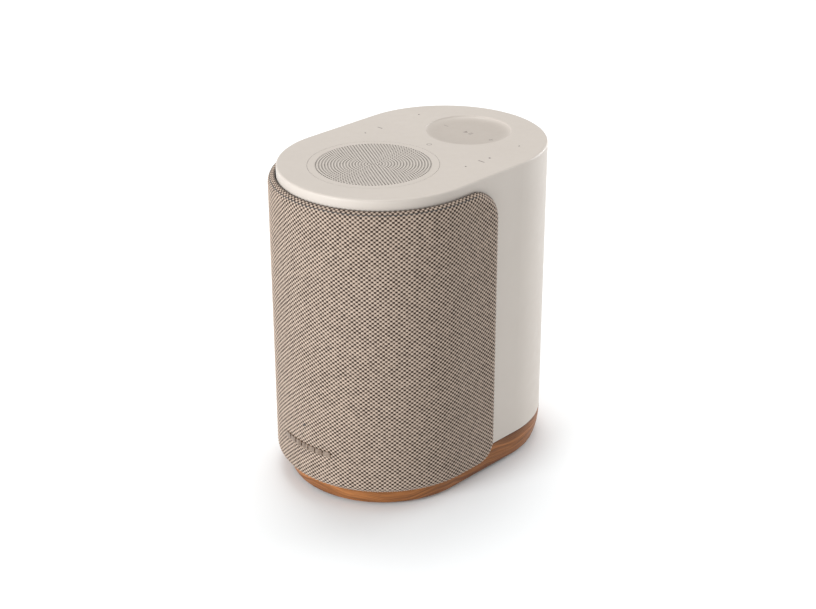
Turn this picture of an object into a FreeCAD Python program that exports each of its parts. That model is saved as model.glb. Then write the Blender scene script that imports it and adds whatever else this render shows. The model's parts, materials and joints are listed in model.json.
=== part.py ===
import FreeCAD, Part
import math
import os

# Table-top smart speaker. The case is a stadium in plan: two half rounds joined by flat sides.
# Millimetres. +Z is up, -Y is the fabric front, and z = 0 is the underside of the rubber foot.

V = FreeCAD.Vector
FRONT, BACK = V(0, -1, 0), V(0, 1, 0)
UP, DOWN = V(0, 0, 1), V(0, 0, -1)

# Case
CASE_RADIUS = 60.0          # half the width of the plastic case
ROUND_Y = 26.8              # the two half rounds are centred this far before and behind the origin
HEIGHT = 194.0
WALL = 2.5
TOP_THICKNESS = 3.5
TOP_EDGE_FILLET = 1.2
CASE_BOTTOM = 19.6
CASE_INNER = CASE_RADIUS - WALL

# Fabric front
FABRIC_RADIUS = 65.0        # the fabric stands this far from the centre of the front round
FABRIC_BOTTOM = 13.8
FABRIC_TOP = 188.1
FABRIC_BACK_Y = 2.0
FABRIC_THICKNESS = 1.2
FABRIC_FILLET = 3.8
FABRIC_TOP_CORNER = 20.0
FABRIC_LOW_CORNER = 13.5
FABRIC_INNER = CASE_RADIUS + 0.4
WINDOW_MARGIN = 8.0         # the case wall runs on behind the fabric's border by this much
WINDOW_LOW_CORNER = 8.0
WINDOW_TOP_CORNER = 14.0
FRAME_GAP = 0.2             # clearance between the case wall and the frame that carries the fabric
FRAME_WALL = 1.8
FRAME_BORDER = 5.5
FRAME_ROWS = 9
FRAME_ROW_PITCH = 16.5
FRAME_LOWEST_ROW = 36.0
FRAME_WINDOW_HALF = 5.5
BADGE_HALF_WIDTH = 18.5
BADGE_LOW = 33.4
BADGE_HIGH = 36.6
BADGE_TILES = 7
BADGE_GAP = 0.9
FRONT_LIGHT_Z = 49.0
FRONT_LIGHT_RADIUS = 0.8

# Base
FOOT_HEIGHT = 2.0
FOOT_RADIUS = 50.0
FOOT_SUNK = 0.6
WOOD_TOP = 19.1
WOOD_TAPER = 5.2
WOOD_STEPS = 6
SPACER_TOP = 20.4
BASE_PLATE_THICKNESS = 3.0
BASE_FIT = 0.3              # clearance between the base plate and the case wall
BASE_SCREW_X = 30.0
BASE_SCREW_Y = 45.0
BASE_SCREW_POCKET = 4.0     # radius and depth of the pocket around each base screw's head

# Top face
GRILLE_Y = -33.25
GRILLE_RADIUS = 37.5
GRILLE_SEAM = 0.15
GRILLE_THICKNESS = 2.4
GRILLE_LEDGE = 3.0          # width of the step in the case that the grille lies on
HOLE_PITCH = 1.72            # distance from one ring of holes to the next
HOLE_RADIUS = 0.54
HOLE_RINGS = 19
HOLES_PER_RING = 6          # ring number n has this many times n holes, the first one straight behind
DISH_Y = 46.5
DISH_RADIUS = 25.7
DISH_FLAT_RADIUS = 15.5
DISH_DEPTH = 2.0
DISH_RIM_FILLET = 0.3
DISH_FLOOR = 2.2
MIC_RADIUS = 0.5
MIC_PLACES = [(x, y) for x in (-40.3, 40.3) for y in (0.0, 46.0)]
MIC_PLUG_DEPTH = 0.2        # the black mesh plug in each microphone hole stands this far below the top
TOP_LED_PLACE = (41.1, 19.4)
TOP_LED_RADIUS = 0.6
ICON_DEPTH = 0.4
ICON_ARM = 1.7
ICON_LINE = 0.25            # half the width of an icon's line
ICON_X = 18.0               # the minus and plus stand this far from the middle of the dish

# Drivers: face radius, place of the face's centre
DRAWN_RADIUS = 46.0         # cone_driver gives its sizes for a driver of this face radius
DRIVER_SCREW_CIRCLE = 43.6
WOOFER_RADIUS = 46.0
WOOFER_Z = 73.0
BAFFLE_Y = -62.0
TOP_DRIVER_RADIUS = 30.0
TOP_DRIVER_Z = 182.0
PASSIVE_RADIUS = 24.0
PASSIVE_X = 49.0
PASSIVE_Y = -30.0
PASSIVE_Z = 138.0
PASSIVE_PLATE_RADIUS = 12.0
PASSIVE_ROLL_CENTRE = 16.1
PASSIVE_ROLL = 3.9
PASSIVE_SKIN = 0.8
PASSIVE_FRAME_WIDTH = 3.5
TWEETER_RADIUS = 16.0
TWEETER_X = 20.0
TWEETER_Z = 137.0
TWEETER_MOUTH = 11.2
TWEETER_MAGNET_RADIUS = 13.0
TWEETER_DOME_RADIUS = 10.4

# Acoustic cabinet
CABINET_RADIUS = 56.5
CABINET_WALL = 3.0
CABINET_LOW = 24.0
CABINET_HIGH = TOP_DRIVER_Z
CABINET_BACK_Y = 22.0
BAFFLE_THICKNESS = 5.0
CABINET_ROOF = 4.0
BACK_THICKNESS = 3.0
FOAM_THICKNESS = 10.0
CUTOUT_SHARE = 0.965        # a cone driver's cutout, as a share of its face radius

# Electronics
BOARD = 1.6                 # thickness of every circuit board
CHIP = 1.6
AMP_Y = CABINET_BACK_Y + 6.0
AMP_HALF_WIDTH = 40.0
AMP_SPAN = (92.0, 162.0)
SINK_SPAN = (104.0, 132.0)
SINK_HALF_WIDTH = 28.0
SINK_BASE = 3.0
FIN_PITCH = 5.0
FIN_THICKNESS = 1.4
FIN_REACH = 10.0
POST_X = 36.0
POST_LEVELS = (96.0, 158.0)
MAIN_Y = 62.0
MAIN_HALF_WIDTH = 36.0
MAIN_SPAN = (78.0, 148.0)
MAIN_CHIP = 14.0
BRACKET_SPAN = (84.0, 142.0)
BRACKET_WIDTH = 6.0
MAIN_SCREW_X = 33.0
MAIN_SCREW_LEVELS = (88.0, 138.0)
SUPPLY_LIFT = 3.0           # height of the power supply board above the base plate
SUPPLY_X = 38.0
SUPPLY_SPAN_Y = (26.0, 62.0)
CAPACITOR_RADIUS = 6.0
CAPACITOR_HEIGHT = 22.0
CAPACITOR_X = -24.0
ANTENNA_X = 51.4
ANTENNA_THICKNESS = 0.8
TOUCH_BOARD_RADIUS = 24.0
TOUCH_BOARD_THICKNESS = 1.2
RIBBON_Y = 68.0
RIBBON_HALF_WIDTH = 6.0
RIBBON_THICKNESS = 0.4
RIBBON_LOW = 130.0
RIBBON_HIGH = 186.4

# Rear panel
PANEL_HALF_WIDTH = 27.5
PANEL_LOW = 25.5
PANEL_HIGH = 50.5
PANEL_FACE_Y = 79.0
PANEL_THICKNESS = 2.5
PANEL_FIT = 0.15
SHELF = 1.5                 # floor and ceiling of the recess around the panel
INLET_X, INLET_Z = -12.0, 38.0
INLET_HALF_X, INLET_HALF_Z = 11.0, 7.0
INLET_BODY_DEPTH = 18.0
WELL_X = 4.3                # each well of the inlet stands this far from its middle
WELL_RADIUS = 4.2
WELL_DEPTH = 12.0
NECK_HALF_Z = 3.6
PIN_RADIUS = 1.2
PIN_LENGTH = 10.0
USB_X, USB_Z = 8.0, 33.0
USB_HALF_X, USB_HALF_Z = 4.7, 1.8
USB_DEPTH = 8.5
USB_WALL = 0.5
BUTTON_X, BUTTON_Z = 18.5, 33.0
BUTTON_RADIUS = 2.8
BUTTON_FLANGE_RADIUS = 3.7
SWITCH_X, SWITCH_Z = 13.0, 43.5
KNOB_HALF_Z = 1.2
SOCKET_BOARD_DEPTH = 10.5
SOCKET_BOARD_THICKNESS = 1.2
SWITCH_BODY_DEPTH = 4.8

parts = {}


# ---- Building blocks -------------------------------------------------------------------------

def stadium(radius, low, high):
    """Upright stadium prism around the case's centre line."""
    left_front, right_front = V(-radius, -ROUND_Y, low), V(radius, -ROUND_Y, low)
    left_back, right_back = V(-radius, ROUND_Y, low), V(radius, ROUND_Y, low)
    edges = [
        Part.Arc(left_front, V(0, -ROUND_Y - radius, low), right_front).toShape(),
        Part.LineSegment(right_front, right_back).toShape(),
        Part.Arc(right_back, V(0, ROUND_Y + radius, low), left_back).toShape(),
        Part.LineSegment(left_back, left_front).toShape(),
    ]
    return Part.Face(Part.Wire(edges)).extrude(V(0, 0, high - low))


def box(x_span, y_span, z_span):
    corner = V(x_span[0], y_span[0], z_span[0])
    size = (x_span[1] - x_span[0], y_span[1] - y_span[0], z_span[1] - z_span[0])
    return Part.makeBox(*size, corner)


def rod(radius, length, start=V(0, 0, 0), axis=UP):
    return Part.makeCylinder(radius, length, start, axis)


def tube(outer, inner, length, start=V(0, 0, 0), axis=UP):
    return rod(outer, length, start, axis).cut(rod(inner, length, start, axis))


def turned(points):
    """Solid of revolution about Z from a closed outline of (radius, z) points."""
    corners = [V(r, 0, z) for r, z in points]
    outline = Part.makePolygon(corners + corners[:1])
    return Part.Face(outline).revolve(V(0, 0, 0), UP, 360)


def dome(radius, rise, thickness, base):
    """Thin spherical cap that stands on the circle of this radius at this height."""
    ball = (radius ** 2 + rise ** 2) / (2 * rise)
    centre = V(0, 0, base + rise - ball)
    shell = Part.makeSphere(ball, centre).cut(Part.makeSphere(ball - thickness, centre))
    return shell.common(rod(radius, rise + 1, V(0, 0, base)))


def fused(*shapes):
    return shapes[0].multiFuse(list(shapes[1:])).removeSplitter()


def moved(shape, offset):
    copy = shape.copy()
    copy.translate(offset)
    return copy


def aimed(shape, place, direction):
    """Turn a shape made about +Z to this direction and put its origin at this place."""
    copy = shape.copy()
    copy.Placement = FreeCAD.Placement(place, FreeCAD.Rotation(UP, direction)).multiply(shape.Placement)
    return copy


def round_places(count, radius, start=45.0):
    turns = [math.radians(start + 360.0 * i / count) for i in range(count)]
    return [V(radius * math.cos(turn), radius * math.sin(turn), 0) for turn in turns]


def screw(length, shaft=1.4, head=2.8, head_height=1.6):
    """Pan head screw: the head stands on z = 0 and the shaft runs down."""
    return fused(rod(head, head_height), rod(shaft, length, V(0, 0, -length)))


def side_outline(y_span, z_span, low_corner, top_corner):
    """Prism along X whose two rear corners are rounded, seen from the side."""
    (y0, y1), (z0, z1) = y_span, z_span
    low, top = low_corner, top_corner
    short = 1 - math.sqrt(0.5)
    low_middle = V(0, y1 - low * short, z0 + low * short)
    top_middle = V(0, y1 - top * short, z1 - top * short)
    low_arc = Part.Arc(V(0, y1 - low, z0), low_middle, V(0, y1, z0 + low))
    top_arc = Part.Arc(V(0, y1, z1 - top), top_middle, V(0, y1 - top, z1))
    edges = [
        Part.LineSegment(V(0, y0, z0), V(0, y1 - low, z0)).toShape(),
        low_arc.toShape(),
        Part.LineSegment(V(0, y1, z0 + low), V(0, y1, z1 - top)).toShape(),
        top_arc.toShape(),
        Part.LineSegment(V(0, y1 - top, z1), V(0, y0, z1)).toShape(),
        Part.LineSegment(V(0, y0, z1), V(0, y0, z0)).toShape(),
    ]
    prism = Part.Face(Part.Wire(edges)).extrude(V(200, 0, 0))
    return moved(prism, V(-100, 0, 0))


def front_band(inner, outer, inset):
    """Wall that wraps the front round, cut to the fabric's outline less an inset."""
    low, high = FABRIC_BOTTOM + inset, FABRIC_TOP - inset
    band = stadium(outer, low, high).cut(stadium(inner, low, high))
    back = FABRIC_BACK_Y - inset
    corners = (FABRIC_LOW_CORNER - inset, FABRIC_TOP_CORNER - inset)
    return band.common(side_outline((-120, back), (low, high), *corners))


# ---- Case ------------------------------------------------------------------------------------

def dish_tool():
    """Shallow bowl: a flat floor, then a quarter ellipse that rises more and more steeply to the rim."""
    centre, rim = V(DISH_FLAT_RADIUS, 0, 0), V(DISH_RADIUS, 0, 0)
    floor, middle = V(DISH_FLAT_RADIUS, 0, -DISH_DEPTH), V(0, 0, -DISH_DEPTH)
    over_rim, over_middle = V(DISH_RADIUS, 0, DISH_DEPTH), V(0, 0, DISH_DEPTH)
    edges = [
        Part.LineSegment(middle, floor).toShape(),
        Part.ArcOfEllipse(Part.Ellipse(rim, floor, centre), 0, math.pi / 2).toShape(),
        Part.LineSegment(rim, over_rim).toShape(),
        Part.LineSegment(over_rim, over_middle).toShape(),
        Part.LineSegment(over_middle, middle).toShape(),
    ]
    outline = Part.Wire(Part.sortEdges(edges)[0])
    bowl = Part.Face(outline).revolve(V(0, 0, 0), UP, 360)
    return moved(bowl, V(0, DISH_Y, HEIGHT))


def flat_bar(x, y, half_x, half_y, low):
    """Upright bar from this height to the top face."""
    return box((x - half_x, x + half_x), (y - half_y, y + half_y), (low, HEIGHT))


def touch_icons():
    """Inlaid marks: minus, play and pause, plus, a ring, and a dash beside each front microphone."""
    arm, line, low = ICON_ARM, ICON_LINE, HEIGHT - DISH_DEPTH - ICON_DEPTH
    tip, back, side = V(-0.4, DISH_Y, low), V(-2.9, DISH_Y + arm, low), V(-2.9, DISH_Y - arm, low)
    in_dish = [
        flat_bar(-ICON_X, DISH_Y, arm, line, low),
        fused(flat_bar(ICON_X, DISH_Y, arm, line, low), flat_bar(ICON_X, DISH_Y, line, arm, low)),
        flat_bar(1.4, DISH_Y, line, arm, low),
        flat_bar(2.6, DISH_Y, line, arm, low),
        Part.Face(Part.makePolygon([tip, back, side, tip])).extrude(V(0, 0, HEIGHT - low)),
    ]
    bowl = dish_tool()
    flush = [mark.cut(bowl) for mark in in_dish]
    low = HEIGHT - ICON_DEPTH
    ring = tube(1.6, 1.15, ICON_DEPTH, V(0.7, 11.9, low))
    dashes = [flat_bar(-40.4, 12.5, 1.9, 0.45, low), flat_bar(41.4, 12.0, 2.4, 0.45, low)]
    return Part.makeCompound(flush + [ring] + dashes)


def is_dish_rim(edge):
    span = edge.BoundBox
    return span.ZMin > HEIGHT - 0.01 and abs(span.XMax - DISH_RADIUS) < 0.01 and span.YMin > 0


def housing_shell(icons):
    """Case open at the bottom, with the dish, the grille's seat, the fabric's window and all holes."""
    outer = stadium(CASE_RADIUS, CASE_BOTTOM, HEIGHT)
    top_edges = [edge for edge in outer.Edges if edge.BoundBox.ZMin > HEIGHT - 0.01]
    outer = outer.makeFillet(TOP_EDGE_FILLET, top_edges)
    shell = outer.cut(stadium(CASE_INNER, CASE_BOTTOM, HEIGHT - TOP_THICKNESS))
    boss = rod(DISH_RADIUS, TOP_THICKNESS, V(0, DISH_Y, HEIGHT - DISH_DEPTH - DISH_FLOOR))
    shell = fused(shell, boss).cut(dish_tool())
    shell = shell.makeFillet(DISH_RIM_FILLET, [edge for edge in shell.Edges if is_dish_rim(edge)])
    window_span = (CASE_BOTTOM + WINDOW_MARGIN, FABRIC_TOP - WINDOW_MARGIN)
    window_back = FABRIC_BACK_Y - WINDOW_MARGIN
    window = side_outline((-120, window_back), window_span, WINDOW_LOW_CORNER, WINDOW_TOP_CORNER)
    band = stadium(CASE_RADIUS + 1, *window_span).cut(stadium(CASE_INNER - 1, *window_span))
    above = HEIGHT + 1
    seat, under = HEIGHT - GRILLE_THICKNESS, HEIGHT - DISH_DEPTH - DISH_FLOOR - 1
    tools = [
        window.common(band),
        rod(GRILLE_RADIUS + GRILLE_SEAM, above - seat, V(0, GRILLE_Y, seat)),
        rod(GRILLE_RADIUS - GRILLE_LEDGE, above - under, V(0, GRILLE_Y, under)),
        rod(TOP_LED_RADIUS + 0.05, above - under, V(*TOP_LED_PLACE, under)),
        box((-PANEL_HALF_WIDTH, PANEL_HALF_WIDTH), (72, 100), (PANEL_LOW, PANEL_HIGH)),
        icons,
    ]
    tools += [rod(MIC_RADIUS, above - under, V(x, y, under)) for x, y in MIC_PLACES]
    for tool in tools:
        shell = shell.cut(tool)
    return shell


def top_grille():
    """Round inset with rings of small holes. Each ring has six more holes than the ring inside it."""
    holes = [Part.Wire(Part.makeCircle(HOLE_RADIUS))]
    for ring in range(1, HOLE_RINGS + 1):
        places = round_places(HOLES_PER_RING * ring, HOLE_PITCH * ring, 90.0)
        holes += [Part.Wire(Part.makeCircle(HOLE_RADIUS, place)) for place in places]
    border = Part.Wire(Part.makeCircle(GRILLE_RADIUS))
    plate = Part.Face([border] + [hole.reversed() for hole in holes]).extrude(V(0, 0, GRILLE_THICKNESS))
    return moved(plate, V(0, GRILLE_Y, HEIGHT - GRILLE_THICKNESS))


def top_grille_support():
    """Spoked hoops that the perforated plate is bonded to."""
    reach = GRILLE_RADIUS - 3.5
    depth = 1.2
    hoops = [tube(radius, radius - 1.0, depth) for radius in (12.0, 23.0, reach)]
    spokes = []
    for i in range(3):
        spoke = box((-reach + 0.5, reach - 0.5), (-0.5, 0.5), (0, depth))
        spoke.rotate(V(0, 0, 0), UP, 60.0 * i + 12.0)
        spokes.append(spoke)
    return moved(fused(*hoops, *spokes), V(0, GRILLE_Y, HEIGHT - GRILLE_THICKNESS - depth))


# ---- Fabric front ----------------------------------------------------------------------------

def is_fabric_rim(edge):
    """True on the outer border of the fabric, but not on the upright lines where round meets flat."""
    span = edge.BoundBox
    if abs(span.YMin + ROUND_Y) < 0.01 and abs(span.YMax + ROUND_Y) < 0.01:
        return False
    reach = [math.hypot(point.x, min(0, point.y + ROUND_Y)) for point in edge.discretize(5)]
    return min(reach) > FABRIC_RADIUS - 0.5


def fabric_cover():
    """Stretched skin with rolled edges: a thick band with its inside taken out."""
    band = front_band(FABRIC_INNER, FABRIC_RADIUS, 0)
    band = band.makeFillet(FABRIC_FILLET, [edge for edge in band.Edges if is_fabric_rim(edge)])
    return band.cut(front_band(FABRIC_INNER - 1, FABRIC_RADIUS - FABRIC_THICKNESS, FABRIC_THICKNESS))


def grille_frame():
    """Perforated plastic carrier that the fabric is stretched over."""
    outer = FABRIC_RADIUS - FABRIC_THICKNESS
    frame = front_band(FABRIC_INNER + FRAME_GAP, outer, FABRIC_THICKNESS)
    frame = frame.cut(front_band(FABRIC_INNER - 1, outer - FRAME_WALL, FRAME_BORDER))
    half = FRAME_WINDOW_HALF
    windows = []
    for row in range(FRAME_ROWS):
        z = FRAME_LOWEST_ROW + FRAME_ROW_PITCH * row
        for column in range(-4, 5):
            window = box((-5.0, 5.0), (-80, -40), (-half, half))
            window.rotate(V(0, 0, 0), UP, 20.0 * column)
            windows.append(moved(window, V(0, -ROUND_Y, z)))
        windows += [box(span, (-22.0, -11.0), (z - half, z + half)) for span in ((-70, -50), (50, 70))]
    return frame.cut(windows)


def badge():
    """Row of blank tiles that follows the fabric's curve."""
    span = (BADGE_LOW, BADGE_HIGH)
    bar = stadium(FABRIC_RADIUS + 0.5, *span).cut(stadium(FABRIC_RADIUS - 0.4, *span))
    pitch = (2 * BADGE_HALF_WIDTH + BADGE_GAP) / BADGE_TILES
    tiles = []
    for i in range(BADGE_TILES):
        start = i * pitch - BADGE_HALF_WIDTH
        tiles.append(bar.common(box((start, start + pitch - BADGE_GAP), (-120, -ROUND_Y), span)))
    return Part.makeCompound(tiles)


def front_light():
    start = V(0, -ROUND_Y - FABRIC_RADIUS + 2.8, FRONT_LIGHT_Z)
    return rod(FRONT_LIGHT_RADIUS, 3.0, start, FRONT)


# ---- Base ------------------------------------------------------------------------------------

def wood_radius(share):
    """Half width of the wood at a share of its height below its top."""
    return CASE_RADIUS - WOOD_TAPER * share ** 1.9


def wood_base():
    """Solid wood slab whose side curves inwards towards the floor, lofted through stadiums."""
    wires = []
    for step in range(WOOD_STEPS + 1):
        share = 1 - step / WOOD_STEPS
        z = WOOD_TOP - share * (WOOD_TOP - FOOT_HEIGHT)
        slab = stadium(wood_radius(share), z, z + 1)
        wires.append(min(slab.Faces, key=lambda face: face.CenterOfMass.z).OuterWire)
    wood = Part.makeLoft(wires, True, False)
    return wood.cut(stadium(FOOT_RADIUS, FOOT_HEIGHT, FOOT_HEIGHT + FOOT_SUNK))


def build_base():
    parts["wood_base"] = wood_base()
    parts["rubber_foot"] = stadium(FOOT_RADIUS, 0, FOOT_HEIGHT + FOOT_SUNK)
    plate_radius = CASE_INNER - BASE_FIT
    parts["shadow_gap_spacer"] = stadium(plate_radius, WOOD_TOP, SPACER_TOP)
    parts["base_plate"] = stadium(plate_radius, SPACER_TOP, SPACER_TOP + BASE_PLATE_THICKNESS)
    pocket = BASE_SCREW_POCKET
    seat = FOOT_HEIGHT + FOOT_SUNK + pocket
    places = [V(x, y, seat) for x in (-BASE_SCREW_X, BASE_SCREW_X) for y in (-BASE_SCREW_Y, BASE_SCREW_Y)]
    long_screw = screw(SPACER_TOP + 2.0 - seat, 1.8, 3.6, 2.2)
    parts["base_screws"] = Part.makeCompound([aimed(long_screw, place, DOWN) for place in places])
    pockets = [rod(pocket, pocket, place - V(0, 0, pocket)) for place in places]
    parts["wood_base"] = parts["wood_base"].cut(pockets)
    cut_from("base_screws", "wood_base", "shadow_gap_spacer", "base_plate")


# ---- Drivers ---------------------------------------------------------------------------------

def cone_driver(name, radius, place, direction):
    """Moving-coil driver. Every size is a share of its face radius; the face is at z = 0."""
    k = radius / DRAWN_RADIUS
    basket = turned([(radius, 0), (radius, 3 * k), (41.4 * k, 3 * k), (41.4 * k, -5 * k), (27 * k, -20 * k),
                     (27 * k, -22 * k), (15 * k, -22 * k), (15 * k, -24 * k), (28 * k, -24 * k),
                     (29 * k, -21 * k), (44.3 * k, -5.5 * k), (44.3 * k, 0)])
    windows = []
    for turn in range(4):
        window = box((18 * k, 50 * k), (-9 * k, 9 * k), (-18 * k, -6 * k))
        window.rotate(V(0, 0, 0), UP, 90.0 * turn)
        windows.append(window)
    motor = fused(tube(28 * k, 13.2 * k, 16 * k, V(0, 0, -40 * k)), rod(28 * k, 4 * k, V(0, 0, -44 * k)),
                  rod(11.6 * k, 18 * k, V(0, 0, -42 * k)))
    cone = turned([(12.6 * k, -13 * k), (33.4 * k, 0.2 * k), (34.4 * k, 0.2 * k), (12.6 * k, -14 * k)])
    cap = dome(15 * k, 4 * k, 0.6 * k, -11.3 * k)
    coil = tube(12.5 * k, 12.1 * k, 16.4 * k, V(0, 0, -30 * k))
    spider = tube(23.5 * k, 12.5 * k, 0.8 * k, V(0, 0, -16 * k))
    roll_centre, roll_radius, roll_skin = 37.4 * k, 2.8 * k, 0.7 * k
    roll = Part.makeTorus(roll_centre, roll_radius).cut(Part.makeTorus(roll_centre, roll_radius - roll_skin))
    roll = roll.common(rod(radius, 4 * k, V(0, 0, 0.2 * k)))
    pieces = {
        "basket": basket.cut(windows), "magnet": motor, "cone": cone, "dust_cap": cap,
        "voice_coil": coil, "spider": spider, "surround": roll,
    }
    for piece, shape in pieces.items():
        parts[name + "_" + piece] = aimed(shape, place, direction)
    fastener = screw(6 * k + 2, 1.4 * k, 2.8 * k, 1.6 * k)
    screws = [moved(fastener, spot + V(0, 0, 3 * k)) for spot in round_places(4, DRIVER_SCREW_CIRCLE * k)]
    return [aimed(one, place, direction) for one in screws]


def passive_radiator(name, place, direction):
    """Flat diaphragm and its half-round surround. The ring that holds them is given back."""
    plate = fused(rod(PASSIVE_PLATE_RADIUS, 2.0), rod(PASSIVE_PLATE_RADIUS / 2, 2.0, V(0, 0, -2.0)))
    inner_roll = Part.makeTorus(PASSIVE_ROLL_CENTRE, PASSIVE_ROLL - PASSIVE_SKIN)
    roll = Part.makeTorus(PASSIVE_ROLL_CENTRE, PASSIVE_ROLL).cut(inner_roll)
    roll = roll.common(rod(PASSIVE_RADIUS, 6, V(0, 0, 0.3)))
    parts[name + "_diaphragm"] = aimed(plate, place, direction)
    parts[name + "_surround"] = aimed(roll, place, direction)
    return aimed(tube(PASSIVE_RADIUS, PASSIVE_RADIUS - PASSIVE_FRAME_WIDTH, 2.5), place, direction)


def tweeter(name, place, direction):
    """Silk dome. Its faceplate and its magnet are given back."""
    collar = tube(TWEETER_MOUTH + 1.4, TWEETER_MOUTH, 1.6, V(0, 0, -1.6))
    face = fused(tube(TWEETER_RADIUS, TWEETER_MOUTH, 2.0), collar)
    lip = tube(TWEETER_MAGNET_RADIUS, TWEETER_MOUTH + 0.4, 0.4, V(0, 0, -2.0))
    motor = fused(rod(TWEETER_MAGNET_RADIUS, 9.0, V(0, 0, -11.0)), lip)
    parts[name + "_dome"] = aimed(dome(TWEETER_DOME_RADIUS, 3.2, 0.4, -0.9), place, direction)
    return aimed(face, place, direction), aimed(motor, place, direction)


def build_drivers():
    woofer_screws = cone_driver("woofer", WOOFER_RADIUS, V(0, BAFFLE_Y, WOOFER_Z), FRONT)
    top_screws = cone_driver("top_driver", TOP_DRIVER_RADIUS, V(0, GRILLE_Y, TOP_DRIVER_Z), UP)
    parts["driver_screws"] = Part.makeCompound(woofer_screws + top_screws)
    parts["top_driver_cone"] = fused(parts["top_driver_cone"], parts.pop("top_driver_dust_cap"))
    frames, faceplates, magnets = [], [], []
    for side, name in ((-1, "left"), (1, "right")):
        centre = V(side * PASSIVE_X, PASSIVE_Y, PASSIVE_Z)
        frames.append(passive_radiator(name + "_passive", centre, V(side, 0, 0)))
        faceplate, magnet = tweeter(name + "_tweeter", V(side * TWEETER_X, BAFFLE_Y, TWEETER_Z), FRONT)
        faceplates.append(faceplate)
        magnets.append(magnet)
    parts["passive_frames"] = Part.makeCompound(frames)
    parts["tweeter_faceplates"] = Part.makeCompound(faceplates)
    parts["tweeter_magnets"] = Part.makeCompound(magnets)


def acoustic_cabinet():
    """Closed box behind the fabric: flat baffle, side pads for the passive radiators, open back."""
    front = box((-80, 80), (BAFFLE_Y, CABINET_BACK_Y), (CABINET_LOW, CABINET_HIGH))
    body = stadium(CABINET_RADIUS, CABINET_LOW, CABINET_HIGH).common(front)
    room_span = (CABINET_LOW + CABINET_WALL, CABINET_HIGH - CABINET_ROOF)
    room = box((-80, 80), (BAFFLE_Y + BAFFLE_THICKNESS, 120), room_span)
    room = room.common(stadium(CABINET_RADIUS - CABINET_WALL, CABINET_LOW, CABINET_HIGH))
    pad_reach = PASSIVE_RADIUS + 1.5
    y_span = (PASSIVE_Y - pad_reach, PASSIVE_Y + pad_reach)
    z_span = (PASSIVE_Z - pad_reach, PASSIVE_Z + pad_reach)
    opening = PASSIVE_RADIUS - PASSIVE_FRAME_WIDTH
    pads = []
    recesses = [
        rod(WOOFER_RADIUS * CUTOUT_SHARE, 20, V(0, BAFFLE_Y - 1, WOOFER_Z), BACK),
        rod(TOP_DRIVER_RADIUS * CUTOUT_SHARE, 20, V(0, GRILLE_Y, CABINET_HIGH - 10), UP),
    ]
    for side in (-1, 1):
        outward = V(side, 0, 0)
        face = V(side * PASSIVE_X, PASSIVE_Y, PASSIVE_Z)
        pads.append(box(sorted((side * (PASSIVE_X - 3), side * 80)), y_span, z_span))
        recesses.append(rod(PASSIVE_RADIUS + 0.4, 40, face, outward))
        recesses.append(rod(opening, 40, face - outward * 10, outward))
        tweeter_place = V(side * TWEETER_X, BAFFLE_Y - 1, TWEETER_Z)
        recesses.append(rod(TWEETER_MAGNET_RADIUS + 0.2, 20, tweeter_place, BACK))
    return body.cut(room.cut(pads)).cut(recesses)


def build_cabinet():
    parts["acoustic_cabinet"] = acoustic_cabinet()
    fit = 0.2
    inside = CABINET_RADIUS - CABINET_WALL - fit
    z_span = (CABINET_LOW + CABINET_WALL + fit, CABINET_HIGH - CABINET_ROOF - fit)
    foam_back = CABINET_BACK_Y - BACK_THICKNESS
    parts["cabinet_back"] = box((-inside, inside), (foam_back, CABINET_BACK_Y), z_span)
    parts["acoustic_foam"] = box((-40, 40), (foam_back - FOAM_THICKNESS, foam_back), (34, 170))
    cut_from("driver_screws", "acoustic_cabinet", "woofer_basket", "top_driver_basket")


# ---- Electronics -----------------------------------------------------------------------------

def build_amplifier():
    """Board on four posts behind the cabinet, with a finned heat sink on its two chips."""
    outer = AMP_Y + BOARD
    levels = (AMP_SPAN[0] + 20, AMP_SPAN[0] + 32)
    chips = [box((x, x + 12), (outer, outer + CHIP), levels) for x in (-24, 12)]
    amp_board = box((-AMP_HALF_WIDTH, AMP_HALF_WIDTH), (AMP_Y, outer), AMP_SPAN)
    parts["amplifier_board"] = fused(amp_board, *chips)
    sink_y = outer + CHIP
    fin_y = sink_y + SINK_BASE
    base = box((-SINK_HALF_WIDTH - 1, SINK_HALF_WIDTH + 1), (sink_y, fin_y), SINK_SPAN)
    count = math.ceil(2 * SINK_HALF_WIDTH / FIN_PITCH)
    starts = [FIN_PITCH * i - SINK_HALF_WIDTH for i in range(count)]
    fins = [box((x, x + FIN_THICKNESS), (fin_y - 0.2, fin_y - 0.2 + FIN_REACH), SINK_SPAN) for x in starts]
    parts["heat_sink"] = fused(base, *fins)
    posts = [V(x, CABINET_BACK_Y, z) for x in (-POST_X, POST_X) for z in POST_LEVELS]
    length = AMP_Y - CABINET_BACK_Y
    parts["board_standoffs"] = Part.makeCompound([tube(3.0, 1.4, length, post, BACK) for post in posts])
    return [aimed(screw(7.0), post + V(0, length + BOARD, 0), BACK) for post in posts]


def build_main_board():
    """Board that hangs on two brackets, with three chips on its front."""
    outer = MAIN_Y + BOARD
    corners = [(-20, 118), (6, 118), (-7, 92)]
    chips = [box((x, x + MAIN_CHIP), (MAIN_Y - 1.4, MAIN_Y), (z, z + MAIN_CHIP)) for x, z in corners]
    main_board = box((-MAIN_HALF_WIDTH, MAIN_HALF_WIDTH), (MAIN_Y, outer), MAIN_SPAN)
    parts["main_board"] = fused(main_board, *chips)
    inner_x = MAIN_HALF_WIDTH - BRACKET_WIDTH
    spans = [(-MAIN_HALF_WIDTH, -inner_x), (inner_x, MAIN_HALF_WIDTH)]
    brackets = [box(span, (outer, outer + BOARD), BRACKET_SPAN) for span in spans]
    parts["main_board_brackets"] = Part.makeCompound(brackets)
    spots = [V(x, MAIN_Y, z) for x in (-MAIN_SCREW_X, MAIN_SCREW_X) for z in MAIN_SCREW_LEVELS]
    return [aimed(screw(2 * BOARD), spot, FRONT) for spot in spots]


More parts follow.
